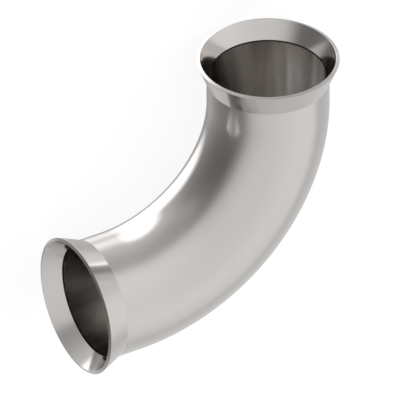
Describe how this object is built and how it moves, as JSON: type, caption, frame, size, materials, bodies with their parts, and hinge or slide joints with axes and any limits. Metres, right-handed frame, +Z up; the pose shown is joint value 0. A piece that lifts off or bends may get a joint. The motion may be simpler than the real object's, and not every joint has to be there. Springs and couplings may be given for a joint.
{
  "type": "flared ninety degree pipe elbow",
  "caption": "Round metal tube bent through a right angle, with a short straight stretch and a conical flared lip at each end.",
  "frame": {"origin": "on the floor, below the middle of the elbow's bounds", "axes": "+Z up, with the elbow lying on its side as it comes to rest, on both rims and the back of the bend. port_a faces -Y and port_b faces +X, both rising 4.5 degrees from the floor, and the back of the bend faces -X +Y"},
  "size_m": [0.124, 0.124, 0.0587],
  "materials": {
    "tube_metal": "smooth polished stainless steel, inside and out"
  },
  "bodies": {
    "root": {"elbow": "tube_metal"}
  },
  "joints": []
}
